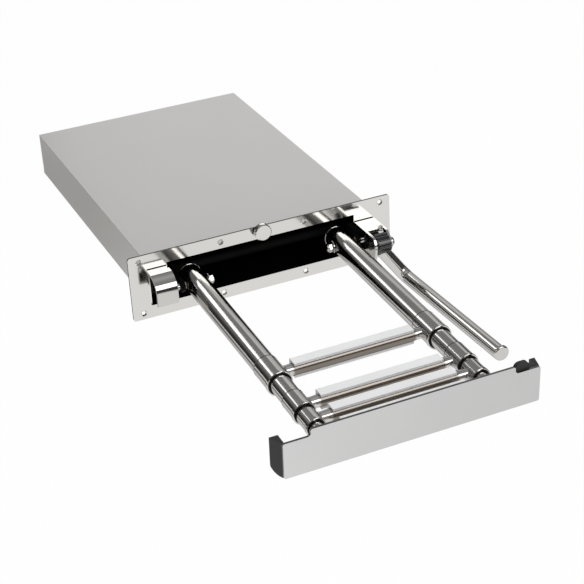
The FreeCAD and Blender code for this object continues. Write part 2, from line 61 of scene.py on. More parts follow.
# How fast a noise's pattern changes along X, Y and Z: an even cloud, or streaks along one axis
EVEN = (1.0, 1.0, 1.0)
FLANGE_STREAK = (1.0, 8.0, 8.0)
SMALL_STREAK = (6.0, 6.0, 6.0)
WELD_STREAK = (30.0, 30.0, 30.0)
SEAM_GRAIN = (40.0, 40.0, 40.0)
GRAIN_ALONG_X = (1.5, 90.0, 90.0)
GRAIN_ALONG_Y = (90.0, 1.5, 90.0)
CARRIAGE_GRAIN = (1.5, 60.0, 60.0)

# Factors by which noise darkens and lightens a colour, or lowers and raises a roughness
POLISH_TINT, POLISH_GLOSS = (0.96, 1.03), (0.85, 1.2)
SATIN_TINT, SATIN_GLOSS = (0.93, 1.06), (0.85, 1.15)
TURNED_TINT, TURNED_GLOSS = (0.94, 1.04), (0.8, 1.3)
MOULDED_TINT, MOULDED_GLOSS = (0.9, 1.08), (0.85, 1.15)

# Finish of the metals
GRAZING_TINT = (0.55, 0.55, 0.55)  # colour of polished steel seen at a flat angle
GRAIN_SHARE = 0.6                  # share of the straight grain in the colour of satin steel
CLOUD_SHARE = 0.4                  # share of the soft clouds in it
RING_PITCH = 9000.0                # turning rings, as radians of their wave per metre
EDGE_NORMAL = 0.6                  # the normals of an upright plate's edges have less Y than this
COVER_EDGE_SHADE = 1.6                   # lightness of the cover plate's painted edge shade beside the flange's
INSIDE_SHADE_MARGIN = 0.0004             # how far the painted shade of the inside reaches into the sheets
INSIDE_SHADE_ROUGHNESS = 0.75

# Colour, as a share of the sheet's, plate's or tube's, and roughness of the small metal parts
# Painted shade: guides and carriage arms are sheet steel darkened to near black for the shade
# inside the cassette
GUIDE_SHADE_SHARE, GUIDE_GLOSS = 0.02, 0.6
ARM_SHADE_SHARE, ARM_GLOSS = 0.012, 0.7
# Painted shade: the seam bead at the strap roots is darkened for the gap's shadow
SEAM_SHADE_SHARE, SEAM_GLOSS = 0.05, 0.45
# Painted shade: the collar bead is darkened for the shade at the collar's step
COLLAR_SHADE_SHARE, COLLAR_BEAD_GLOSS = 0.16, 0.3
WELD_SHARE, WELD_GLOSS = 0.9, 0.2
PIN_SHARE = 0.75
BRONZE_GLOSS = 0.22
SCREW_GLOSS = 0.15

# Shapes
ROUND_SEGMENTS = 72                # sides of the larger round pieces
BEAD_SEGMENTS = 40                 # steps of a bead round its circle
SCREW_SEGMENTS = 32
SEAM_SIDES = 12
SEAM_SINK = 0.4                    # share of the seam's radius by which it sinks into the corner
LIP_CHAMFER = 0.4                  # chamfer of a lip as a share of its wall
MERGE_DISTANCE = 1e-7
SHARP_ANGLE = math.radians(35.0)
RIM_REACH = 0.93                   # the dome's rim is this share of its reach from the tip, or more
WASHER_GAP = 0.0002                # gap between a washer and the rail
TOP_SCREW = (0.006, 0.024)         # screw on the bracket: right of its middle, behind its front
SIDE_SCREW = (0.016, 0.004)        # screw in its side: behind the hub's middle, below the top

# Studio
FLOOR_ROUGHNESS = 0.9
FLOOR_WHITE = 0.985                # share of plain white in the floor that is seen
SCREEN_COLOUR = (0.010, 0.010, 0.010)
SCREEN_STEPS = 24
CLOTH_COLOUR = (0.72, 0.71, 0.69)
CLOTH_SIZE = (3.6, 1.9, 1.0)
CLOTH_PLACE = (-1.5, 2.9)
CLOTH_LIFT = 0.01

# Height in the room, from the horizon to overhead, and the grey level there
ROOM_LEVELS = ((0.0, 0.03), (0.14, 0.05), (0.30, 0.15), (0.42, 0.25), (0.70, 0.27), (0.88, 0.34),
               (1.0, 0.55))

# Name, place, target, width and height of each soft light
LAMPS = (
    ("top", (0.1, 0.1, 2.4), (0.0, 0.0, 0.0), 1.8, 1.8),
    ("front", (0.9, -2.1, 1.3), (0.0, 0.0, 0.0), 1.6, 1.3),
    ("side", (-2.4, -0.6, 1.2), (0.0, -0.1, 0.0), 1.4, 1.2),
    ("back", (-0.95, 2.3, 1.75), (0.0, -0.2, 0.0), 1.2, 0.5),
    ("fill", (1.2, 2.3, 0.95), (0.0, -0.1, 0.0), 2.1, 1.8),
)


def node_box(name):
    """The lowest and highest corner of a node at rest."""
    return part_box(name)


def middle_of(name):
    """The middle of a node's box at rest."""
    low, high = node_box(name)
    return (low + high) / 2


def colour(name, description, value):
    return FloatVectorProperty(name=name, description=description, subtype="COLOR", size=3,
                               min=0.0, max=1.0, default=value)


def length(name, description, value):
    return FloatProperty(name=name, description=description, default=value, min=0.0, unit="LENGTH",
                         precision=5)


def edge_height(name, description, value):
    return FloatProperty(name=name, description=description, default=value, unit="LENGTH")


def angle(name, description, degrees):
    return FloatProperty(name=name, description=description, subtype="ANGLE",
                         default=math.radians(degrees))


def power(name, description, value):
    return FloatProperty(name=name, description=description, default=value, min=0.0, unit="POWER")


def share(name, description, value, top=1.0):
    return FloatProperty(name=name, description=description, default=value, min=0.0, max=top)


class LadderFinishes(bpy.types.PropertyGroup):
    """Colours and gloss of the ladder's metals, plastics and rubber."""

    sheet_colour: colour("Satin sheet", "Satin steel of the cassette", (0.775, 0.767, 0.752))
    # Painted light: the sides are the same sheet, made lighter to stand in for the light falling on
    # them
    side_share: share("Side lightness", "Colour of the cassette's sides as a share of the sheet's",
                      1.10, top=1.5)
    # Painted shade: the inside is the same steel; this near-black colour stands in for the shade in
    # the cassette
    inside_colour: colour("Cassette inside", "Dark inside of the cassette", (0.006, 0.006, 0.006))
    sheet_gloss: share("Sheet roughness", "Roughness of the satin steel", 0.34)
    plate_colour: colour("Polished plate", "Polished steel of flange and straps",
                         (0.68, 0.667, 0.645))
    plate_gloss: share("Plate roughness", "Roughness of the polished plate", 0.10)
    # Painted shade: hook and bracket are the flange's steel, made darker to stand in for their
    # duller reflection
    strap_share: share("Strap darkness", "Colour of hook and bracket as a share of the flange's",
                       0.86)
    # Painted shade: the plates' edges are darkened to stand in for dark reflections and shade
    edge_share: share("Edge darkness", "Colour of the cut edges as a share of the plate's colour",
                      0.22)
    tube_colour: colour("Polished tube", "Polished steel of the rails and handle",
                        (0.60, 0.585, 0.565))
    tube_gloss: share("Tube roughness", "Roughness of the polished tubes", 0.12)
    # Painted reflection: the bars are steel; this dark brown stands in for the dark surroundings
    # they reflect
    bar_colour: colour("Step bar", "Warm polished steel of the step bars", (0.21, 0.186, 0.163))
    bar_gloss: share("Bar roughness", "Roughness of the step bars", 0.14)
    cover_colour: colour("Cover plate", "Fine satin steel of the cover plate", (0.62, 0.62, 0.617))
    cover_gloss: share("Cover roughness", "Roughness of the cover plate", 0.22)
    # Painted shade: the cover plate darkens towards its right end in place of falling light
    cover_fade: share("Cover fade", "How much darker the cover plate gets towards its right end",
                      0.14)
    # Painted shade: the knob's side is darkened to stand in for its dark reflection and shadow
    knob_share: share("Knob side darkness", "Colour of the knob's side as a share of its face's",
                      0.10)
    tread_colour: colour("Tread", "White plastic of the treads", (0.84, 0.845, 0.845))
    black_colour: colour("Black rubber", "Rings, rollers and hub", (0.005, 0.005, 0.0055))
    block_colour: colour("Bumper rubber", "Black rubber of the bumpers at the cover plate",
                         (0.021, 0.021, 0.022))
    bronze_colour: colour("Bronze washer", "Bronze of the spacer washers", (0.32, 0.23, 0.15))


class LadderFasteners(bpy.types.PropertyGroup):
    """Sizes of the screws, washers, beads and lips, and of the plug in the grip."""

    screw_radius: length("Screw head radius", "Radius of the bracket's screw heads", 0.0030)
    screw_height: length("Screw head height", "Height of the bracket's screw heads", 0.0018)
    washer_radius: length("Washer radius", "Outer radius of the spacer washers", 0.0085)
    washer_bore: length("Washer bore", "Inner radius of the spacer washers", 0.0052)
    washer_height: length("Washer height", "Thickness of the spacer washers", 0.0018)
    bead_radius: length("Weld bead radius", "Radius of a weld bead", 0.0009)
    weld_radius: length("Weld radius", "Radius of the weld round the end of a step bar", 0.0073)
    bead_turns: IntProperty(name="Bead sides", description="Sides of a bead or washer", default=8,
                            min=4)
    plug_round: length("Plug rounding", "Rounding of the rim at the end of the grip", 0.0028)
    plug_share: share("Plug length", "Length of the plug as a share of the dome's", 0.7)
    neck_blend: length("Neck blend", "Length over which a step bar turns bright at its end", 0.004)
    collar_1: length("Collar 1", "Length of the upper collar", 0.041)
    collar_2: length("Collar 2", "Length of the second collar", 0.032)
    collar_3: length("Collar 3", "Length of the third collar", 0.0256)
    collar_bead: length("Collar bead", "Radius of the bead where a collar begins", 0.00055)
    lip_wall: length("Lip wall", "Thickness of the steel lip round a black ring", 0.0006)
    lip_length: length("Lip length", "Length of the steel lip round a black ring", 0.0040)
    lip_cover: length("Lip cover", "How far the lip's rim reaches over the end of a black ring",
                      0.0011)
    seam_radius: length("Seam radius", "Radius of the seam where a strap meets the flange", 0.0009)


class LadderStudio(bpy.types.PropertyGroup):
    """Camera, floor and light of the studio."""

    lens: FloatProperty(name="Lens", description="Focal length in millimetres", default=96.81)
    azimuth: angle("Azimuth", "Camera heading", -23.175)
    elevation: angle("Elevation", "Camera tilt below the horizon", 29.165)
    roll: angle("Roll", "Camera roll", 3.221)
    place: FloatVectorProperty(name="Camera place", description="Where the camera stands",
                               unit="LENGTH", size=3, default=(-0.7527, -1.8556, 1.0554))
    floor_depth: length("Floor depth",
                        "Floor below the flange's middle, clear of the lowered ladder", 1.22)
    floor_size: length("Floor size", "Side of the floor", 60.0)
    floor_colour: colour("Floor", "Pale floor", (0.86, 0.86, 0.86))
    top_power: power("Top light", "Power of the soft light above", 27.0)
    front_power: power("Front light", "Power of the soft light in front", 19.0)
    side_power: power("Side light", "Power of the soft light on the left", 9.0)
    back_power: power("Back light", "Power of the soft light behind on the left", 4.2)
    fill_power: power("Fill light", "Power of the wide soft light behind on the right", 6.2)
    screen_distance: length("Screen distance", "Radius of the dark screen round the ladder", 3.0)
    screen_low: edge_height("Screen bottom", "Lower edge of the dark screen", -0.34)
    screen_high: edge_height("Screen top", "Upper edge of the dark screen", 0.05)
    screen_turn: angle("Screen turn", "Angle that the dark screen spans to the left", 80.0)


def finishes():
    return bpy.context.scene.ladder_finishes


def fasteners():
    return bpy.context.scene.ladder_fasteners


def studio():
    return bpy.context.scene.ladder_studio


# Materials

class Shader:
    """A material with its principled shader, and short calls to add nodes to it."""

    def __init__(self, name):
        self.material = bpy.data.materials.new(name)
        self.material.use_nodes = True
        self.tree = self.material.node_tree
        self.surface = self.tree.nodes["Principled BSDF"]

    def feed(self, socket, value):
        """Links an output to a socket, or gives it a value; a colour is given as three numbers."""
        if isinstance(value, bpy.types.NodeSocket):
            self.tree.links.new(value, socket)
        elif socket.type == "RGBA":
            socket.default_value = (*value, 1.0)
        else:
            socket.default_value = value

    def set(self, socket, value):
        self.feed(self.surface.inputs[socket], value)

    def source(self, socket):
        """The output that is linked to a socket of the principled shader."""
        return self.surface.inputs[socket].links[0].from_socket

    def add(self, kind, **inputs):
        node = self.tree.nodes.new(kind)
        for socket, value in inputs.items():
            self.feed(node.inputs[socket.replace("_", " ")], value)
        return node

    def place(self, scale=EVEN, middle=(0.0, 0.0, 0.0)):
        """Object coordinates, moved so that middle is the origin and then scaled."""
        coordinates = self.tree.nodes.new("ShaderNodeTexCoord")
        moved = self.add("ShaderNodeVectorMath", Vector=coordinates.outputs["Object"])
        moved.operation = "SUBTRACT"
        moved.inputs[1].default_value = middle
        scaled = self.add("ShaderNodeVectorMath", Vector=moved.outputs[0])
        scaled.operation = "MULTIPLY"
        scaled.inputs[1].default_value = scale
        return scaled.outputs[0]

    def axes(self, middle=(0.0, 0.0, 0.0)):
        """The outputs X, Y and Z of the object coordinates about middle."""
        return self.add("ShaderNodeSeparateXYZ", Vector=self.place(middle=middle)).outputs

    def noise(self, vector, size, detail, rough=0.5):
        node = self.add("ShaderNodeTexNoise", Vector=vector, Scale=size, Detail=detail,
                        Roughness=rough)
        return node.outputs["Fac"]

    def math(self, operation, a, b=0.0):
        node = self.tree.nodes.new("ShaderNodeMath")
        node.operation = operation
        self.feed(node.inputs[0], a)
        self.feed(node.inputs[1], b)
        return node.outputs[0]

    def tint(self, factor, dark, light):
        """A colour that goes from dark to light as factor goes from 0 to 1."""
        node = self.tree.nodes.new("ShaderNodeMix")
        node.data_type = "RGBA"
        self.feed(node.inputs["Factor"], factor)
        self.feed(node.inputs["A"], dark)
        self.feed(node.inputs["B"], light)
        return node.outputs["Result"]

    def vary_colour(self, factor, base, spread):
        """Gives the surface its base colour, darker or lighter within the spread."""
        low, high = spread
        self.set("Base Color", self.tint(factor, shaded(base, low), shaded(base, high)))

    def vary_gloss(self, factor, gloss, spread):
        """Gives the surface its roughness, lower or higher within the spread."""
        low, high = spread
        node = self.add("ShaderNodeMapRange", Value=factor, To_Min=gloss * low, To_Max=gloss * high)
        self.set("Roughness", node.outputs["Result"])

    def bump(self, height, distance, strength):
        node = self.add("ShaderNodeBump", Height=height, Distance=distance, Strength=strength)
        self.set("Normal", node.outputs["Normal"])


def shaded(base, factor):
    """The same colour, lighter or darker by a factor."""
    return tuple(min(1.0, channel * factor) for channel in base)


def polished_metal(name, base, gloss, streak=EVEN):
    """Polished steel: fine polishing lines in the gloss and a faint wave in the surface."""
    shader = Shader(name)
    shader.set("Metallic", 1.0)
    shader.set("Specular Tint", GRAZING_TINT)
    lines = shader.noise(shader.place(streak), size=12.0, detail=4.0, rough=0.6)
    cloud = shader.noise(shader.place(), size=9.0, detail=2.0)
    wave = shader.noise(shader.place(), size=14.0, detail=1.0)
    shader.vary_colour(cloud, base, POLISH_TINT)
    shader.vary_gloss(lines, gloss, POLISH_GLOSS)
    shader.bump(wave, distance=0.000007, strength=0.5)
    return shader


def satin_metal(name, base, gloss, grain, clouds=CLOUD_SHARE):
    """Satin steel with a fine straight grain."""
    shader = Shader(name)
    shader.set("Metallic", 1.0)
    lines = shader.noise(shader.place(grain), size=8.0, detail=5.0, rough=0.65)
    cloud = shader.noise(shader.place(), size=6.0, detail=2.0)
    mixed = shader.math("ADD", shader.math("MULTIPLY", lines, GRAIN_SHARE),
                        shader.math("MULTIPLY", cloud, clouds))
    shader.vary_colour(mixed, base, SATIN_TINT)
    shader.vary_gloss(lines, gloss, SATIN_GLOSS)
    shader.bump(lines, distance=0.00002, strength=0.25)
    return shader


def cassette_metal(name, base):
    """Satin outside and a painted shade on the inside, told apart by the distance from the middle.
    """
    look = finishes()
    low, high = node_box("cassette_top")
    bottom_low = node_box("cassette_bottom")[0]
    sheet = high.z - low.z
    half_width = (high.x - low.x) / 2 - sheet + INSIDE_SHADE_MARGIN
    half_height = (high.z - bottom_low.z) / 2 - sheet + INSIDE_SHADE_MARGIN
    depth = high.y - sheet + INSIDE_SHADE_MARGIN
    shader = satin_metal(name, base, look.sheet_gloss, GRAIN_ALONG_Y)
    axes = shader.axes()
    across = shader.math("LESS_THAN", shader.math("ABSOLUTE", axes["X"]), half_width)
    upright = shader.math("LESS_THAN", shader.math("ABSOLUTE", axes["Z"]), half_height)
    inward = shader.math("LESS_THAN", axes["Y"], depth)
    inside = shader.math("MULTIPLY", shader.math("MULTIPLY", across, upright), inward)
    # Painted shade: the inside faces take the near-black colour in place of the shade that falls
    # there
    shader.set("Base Color", shader.tint(inside, shader.source("Base Color"), look.inside_colour))
    rough = shader.add("ShaderNodeMix", Factor=inside, A=shader.source("Roughness"),
                       B=INSIDE_SHADE_ROUGHNESS)
    shader.set("Roughness", rough.outputs["Result"])
    return shader.material


def cut_edges(shader, base, shade_factor):
    """Painted shade: darkens the narrow sides of an upright plate, standing in for the dark
    reflections and shade on its edges.
    """
    coordinates = shader.tree.nodes.new("ShaderNodeTexCoord")
    split = shader.add("ShaderNodeSeparateXYZ", Vector=coordinates.outputs["Normal"])
    edge = shader.math("LESS_THAN", shader.math("ABSOLUTE", split.outputs["Y"]), EDGE_NORMAL)
    shader.set("Base Color",
               shader.tint(edge, shader.source("Base Color"), shaded(base, shade_factor)))
    return shader.material


def fade_along(shader, low, high, shade_drop):
    """Painted shade: darkens a plate a little from its left end to its right end, standing in for
    the light falling off along it.
    """
    across = shader.add("ShaderNodeMapRange", Value=shader.axes()["X"], From_Min=low.x,
                        From_Max=high.x, To_Min=1.0, To_Max=1.0 - shade_drop)
    dim = shader.add("ShaderNodeVectorMath", Vector=shader.source("Base Color"))
    dim.operation = "SCALE"
    shader.feed(dim.inputs["Scale"], across.outputs["Result"])
    shader.set("Base Color", dim.outputs[0])


def bright_ends(shader, base, start, blend):
    """Gives a bar the colour of bright steel beyond a distance from its middle; the middle keeps
    the painted dark reflection.
    """
    ends = shader.add("ShaderNodeMapRange", Value=shader.math("ABSOLUTE", shader.axes()["X"]),
                      From_Min=start, From_Max=start + blend)
    shader.set("Base Color", shader.tint(ends.outputs["Result"], shader.source("Base Color"), base))
    return shader.material


def turned_metal(name, base, gloss, middle):
    """Turned steel: rings round a line along Y through middle."""
    shader = Shader(name)
    shader.set("Metallic", 1.0)
    axes = shader.axes(middle)
    squares = shader.math("ADD", shader.math("POWER", axes["X"], 2.0),
                          shader.math("POWER", axes["Z"], 2.0))
    radius = shader.math("SQRT", squares)
    rings = shader.math("SINE", shader.math("MULTIPLY", radius, RING_PITCH))
    cloud = shader.noise(shader.place(), size=40.0, detail=2.0)
    shader.vary_colour(cloud, base, TURNED_TINT)
    shader.vary_gloss(cloud, gloss, TURNED_GLOSS)
    shader.bump(rings, distance=0.000006, strength=0.4)
    return shader


def plastic(name, base, rough, grain_size, grain_height, shine=0.5):
    """Moulded plastic or rubber with a fine grain."""
    shader = Shader(name)
    shader.set("Specular IOR Level", shine)
    grain = shader.noise(shader.place(), size=grain_size, detail=3.0, rough=0.6)
    cloud = shader.noise(shader.place(), size=12.0, detail=2.0)
    shader.vary_colour(cloud, base, MOULDED_TINT)
    shader.vary_gloss(grain, rough, MOULDED_GLOSS)
    shader.bump(grain, distance=grain_height, strength=0.5)
    return shader.material


def wear(nodes, material):
    """Gives CAD nodes a material."""
    for name in nodes:
        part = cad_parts[name]
        part.data.materials.clear()
        part.data.materials.append(material)


def both(stem):
    return [stem + "_" + side for side in SIDES]


# New pieces

def solid(name, shape, material):
    """Turns a bmesh into an object of the scene."""
    mesh = bpy.data.meshes.new(name)
    shape.to_mesh(mesh)
    shape.free()
    mesh.materials.append(material)
    item = bpy.data.objects.new(name, mesh)
    bpy.context.scene.collection.objects.link(item)
    return item


def finish_piece(name, shape, material, body):
    """Turns a bmesh into a piece that rides on a body."""
    bmesh.ops.remove_doubles(shape, verts=shape.verts, dist=MERGE_DISTANCE)
    bmesh.ops.recalc_face_normals(shape, faces=shape.faces)
    piece = solid(name, shape, material)
    piece.data.shade_smooth()
    piece.data.set_sharp_from_angle(angle=SHARP_ANGLE)
    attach(piece, body)
    return piece


def along(axis):
    """The turn that takes +Z to an axis."""
    return Vector(ALONG_Z).rotation_difference(Vector(axis)).to_matrix().to_4x4()


def put(shape, place, axis):
    """Stands a bmesh at place, its +Z turned along axis."""
    bmesh.ops.transform(shape, matrix=Matrix.Translation(place) @ along(axis), verts=shape.verts)


def topmost(shape):
    """The face of a bmesh whose middle is highest."""
    return max(shape.faces, key=lambda face: face.calc_center_median().z)


def soften(shape, edges, width, segments):
    bmesh.ops.bevel(shape, geom=edges, offset=width, offset_type="OFFSET", affect="EDGES",
                    segments=segments, profile=0.5, material=-1)


def cylinder(shape, radius, depth, segments):
    return bmesh.ops.create_cone(shape, cap_ends=True, segments=segments, radius1=radius,
                                 radius2=radius, depth=depth)["verts"]


def socket_screw(place, axis, radius, height):
    """A pan head with a sunk socket, standing at place and pointing along axis."""
    rim_width, socket_inset, socket_depth = height * 0.45, radius * 0.3, height * 0.55
    shape = bmesh.new()
    head = cylinder(shape, radius, height, SCREW_SEGMENTS)
    bmesh.ops.translate(shape, verts=head, vec=(0.0, 0.0, height / 2))
    soften(shape, list(topmost(shape).edges), rim_width, 3)
    top = topmost(shape)
    bmesh.ops.inset_individual(shape, faces=[top], thickness=socket_inset)
    walls = bmesh.ops.extrude_face_region(shape, geom=[top])["geom"]
    lower = [item for item in walls if isinstance(item, bmesh.types.BMVert)]
    bmesh.ops.delete(shape, geom=[top], context="FACES_ONLY")
    bmesh.ops.translate(shape, verts=lower, vec=(0.0, 0.0, -socket_depth))
    put(shape, place, axis)
    return shape


def straight_bead(start, end, radius, sides):
    """A bead between two points, with rounded ends."""
    shape = bmesh.new()
    line = end - start
    cylinder(shape, radius, line.length, sides)
    rims = [edge for edge in shape.edges if any(len(face.verts) > 4 for face in edge.link_faces)]
    soften(shape, rims, radius * 0.4, 2)
    put(shape, (start + end) / 2, line)
    return shape


def spun(shape, steps):
    """Spins the outline in a bmesh once round +Z."""
    bmesh.ops.spin(shape, geom=shape.verts[:] + shape.edges[:], cent=(0.0, 0.0, 0.0), axis=ALONG_Z,
                   angle=math.tau, steps=steps, use_merge=True)
    return shape


def turned_ring(outline):
    """A ring about +Z from its closed outline of radius and height pairs."""
    shape = bmesh.new()
    verts = [shape.verts.new((radius, 0.0, height)) for radius, height in outline]
    for first, second in zip(verts, verts[1:] + verts[:1]):
        shape.edges.new((first, second))
    return spun(shape, ROUND_SEGMENTS)


def ring_bead(radius, bead, sides):
    """A bead that runs round a circle about +Z."""
    shape = bmesh.new()
    circle = bmesh.ops.create_circle(shape, cap_ends=False, segments=sides, radius=bead)["verts"]
    turn = Matrix.Translation((radius, 0.0, 0.0)) @ Matrix.Rotation(math.pi / 2, 4, "X")
    bmesh.ops.transform(shape, matrix=turn, verts=circle)
    return spun(shape, BEAD_SEGMENTS)


def merged(shapes):
    """One bmesh from several."""
    whole = bmesh.new()
    for shape in shapes:
        mesh = bpy.data.meshes.new("part")
        shape.to_mesh(mesh)
        shape.free()
        whole.from_mesh(mesh)
        bpy.data.meshes.remove(mesh)
    return whole


# Operators

class LADDER_OT_cassette(bpy.types.Operator):
    """Give the cassette, its flange and its straps their steel"""

    bl_idname = "ladder.cassette"
    bl_label = "Cassette and flange"

    def execute(self, context):
        look = finishes()
        wear(["cassette_top", "cassette_bottom", "cassette_back"],
             cassette_metal("satin_sheet", look.sheet_colour))
        # Painted light: the sides wear a lighter copy of the sheet's colour
        wear(["cassette_left_side", "cassette_right_side"],
             cassette_metal("side_sheet", shaded(look.sheet_colour, look.side_share)))
        # Painted shade: the straps wear a darker copy of the flange's polished steel
        strap = polished_metal("polished_plate", shaded(look.plate_colour, look.strap_share),
                               look.plate_gloss, FLANGE_STREAK)
        wear(["hook_left", "handle_bracket"], strap.material)
        flange = polished_metal("flange_steel", look.plate_colour, look.plate_gloss, FLANGE_STREAK)
        # Painted shade on the flange's narrow sides
        wear(["flange_plate"], cut_edges(flange, look.plate_colour, look.edge_share))
        # Painted shade: the guides wear near-black sheet steel
        dark = satin_metal("guide_steel", shaded(look.sheet_colour, GUIDE_SHADE_SHARE), GUIDE_GLOSS,
                           GRAIN_ALONG_X)
        wear(both("guide"), dark.material)
        return {"FINISHED"}


class LADDER_OT_rails(bpy.types.Operator):
    """Give the telescopic rails, their rings, the steps and the cover plate their finish"""

    bl_idname = "ladder.rails"
    bl_label = "Rails and steps"

    def execute(self, context):
        look = finishes()
        tube = polished_metal("polished_tube", look.tube_colour, look.tube_gloss)
        for section in range(1, 5):
            wear(both("rail_" + str(section)), tube.material)
        rubber = plastic("black_rubber", look.black_colour, rough=0.5, grain_size=900.0,
                         grain_height=0.00003, shine=0.28)
        tread = plastic("white_tread", look.tread_colour, rough=0.42, grain_size=1500.0,
                        grain_height=0.00002)
        for section in range(1, 5):
            step = "step_" + str(section)
            # Painted reflection: the bar's middle is dark, its ends the tube's steel
            bar = polished_metal("polished_bar_" + str(section), look.bar_colour, look.bar_gloss)
            tread_end = node_box(step + "_tread")[1].x
            wear([step + "_bar"],
                 bright_ends(bar, look.tube_colour, tread_end, fasteners().neck_blend))
            wear([step + "_tread"], tread)
        for section in range(1, 4):
            wear(both("ring_" + str(section)), rubber)
        wear(both("end_block"), plastic("bumper_rubber", look.block_colour, rough=0.5,
                                        grain_size=900.0, grain_height=0.00003, shine=0.4))
        cover = satin_metal("cover_sheet", look.cover_colour, look.cover_gloss, GRAIN_ALONG_X,
                            clouds=1.0)
        # Painted shade along the cover plate
        fade_along(cover, *node_box("cover_plate"), look.cover_fade)
        # Painted shade on the cover plate's narrow sides, lighter than the flange's
        wear(["cover_plate"], cut_edges(cover, look.cover_colour, look.edge_share * COVER_EDGE_SHADE))
        return {"FINISHED"}


class LADDER_OT_handle(bpy.types.Operator):
    """Give the grab handle and the knob their finish, and close the end of the grip"""

    bl_idname = "ladder.handle"
    bl_label = "Handle and knob"

    def execute(self, context):
        look = finishes()
        grip = polished_metal("handle_tube_steel", look.tube_colour, look.tube_gloss)
        wear(["handle_tube"], grip.material)
        self.close_grip(grip.material)
        wear(["handle_hub"], plastic("hub_plastic", look.black_colour, rough=0.16, grain_size=700.0,
                                     grain_height=0.000005, shine=0.8))
        turned = turned_metal("turned_steel", look.plate_colour, look.plate_gloss,
                              middle_of("lock_knob"))
        # Painted shade on the knob's side
        wear(["lock_knob", "knob_base"], cut_edges(turned, look.plate_colour, look.knob_share))
        return {"FINISHED"}

    def close_grip(self, material):
        """A flat plug with a rounded rim for the end of the grip, in place of the dome."""
        corners = [vert.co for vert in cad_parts["handle_cap"].data.vertices]
        tip = min(corners, key=lambda corner: corner.y)
        reach = max((corner - tip).length for corner in corners)
        rim = [corner for corner in corners if (corner - tip).length > reach * RIM_REACH]
        centre = sum(rim, Vector()) / len(rim)
        first = rim[0] - centre
        second = min((corner - centre for corner in rim), key=lambda spoke: abs(spoke.dot(first)))
        axis = first.cross(second).normalized()
        axis = -axis if axis.dot(tip - centre) < 0 else axis
        depth = (tip - centre).dot(axis) * fasteners().plug_share
        shape = bmesh.new()
        body = cylinder(shape, first.length, depth, ROUND_SEGMENTS)
        bmesh.ops.translate(shape, verts=body, vec=(0.0, 0.0, depth / 2))
        soften(shape, list(topmost(shape).edges), fasteners().plug_round, 4)
        put(shape, centre, axis)
        plug = finish_piece("handle_end", shape, material, "handle")
        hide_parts("handle_cap")


class LADDER_OT_carriage(bpy.types.Operator):
    """Give the carriage, its rollers and its pins their finish, and add the bronze washers"""

    bl_idname = "ladder.carriage"
    bl_label = "Carriage"

    def execute(self, context):
        look = finishes()
        sizes = fasteners()
        # Painted shade: the carriage arms wear near-black sheet steel
        arms = satin_metal("carriage_steel", shaded(look.sheet_colour, ARM_SHADE_SHARE), ARM_GLOSS,
                           CARRIAGE_GRAIN)
        wear(["carriage_frame"], arms.material)
        wear(both("roller"), plastic("roller_plastic", look.black_colour, rough=0.4,
                                     grain_size=600.0, grain_height=0.00003, shine=0.3))
        pin = polished_metal("pin_steel", shaded(look.tube_colour, PIN_SHARE), look.tube_gloss,
                             SMALL_STREAK)
        wear(both("pivot_pin"), pin.material)
        bronze = polished_metal("bronze", look.bronze_colour, BRONZE_GLOSS, SMALL_STREAK)
        radius = (sizes.washer_radius + sizes.washer_bore) / 2
        half = sizes.washer_height / 2
        for side in SIDES:
            rail_low, rail_high = node_box("rail_1_" + side)
            face = rail_high.x if side == "right" else rail_low.x
            place = middle_of("pivot_pin_" + side)
            place.x = face + SIGN[side] * (half + WASHER_GAP)
            shape = ring_bead(radius, half, sizes.bead_turns)
            put(shape, place, ALONG_X)
            finish_piece("spacer_washer_" + side, shape, bronze.material, "carriage")
        return {"FINISHED"}


class LADDER_OT_welds(bpy.types.Operator):
    """Lay the weld beads where the step bars meet the collars"""

    bl_idname = "ladder.welds"
    bl_label = "Weld beads"

    def execute(self, context):
        sizes = fasteners()
        steel = polished_metal("weld_steel", shaded(finishes().tube_colour, WELD_SHARE), WELD_GLOSS,
                               WELD_STREAK)
        for step, body in enumerate(STEP_BODIES, 1):
            surface = node_box("rail_" + str(step) + "_right")[0].x
            shapes = []
            for side in SIDES:
                place = middle_of("step_" + str(step) + "_bar")
                place.x = SIGN[side] * (surface + sizes.bead_radius)
                shape = ring_bead(sizes.weld_radius, sizes.bead_radius, sizes.bead_turns)
                put(shape, place, ALONG_X)
                shapes.append(shape)
            finish_piece("step_welds_" + str(step), merged(shapes), steel.material, body)
        return {"FINISHED"}


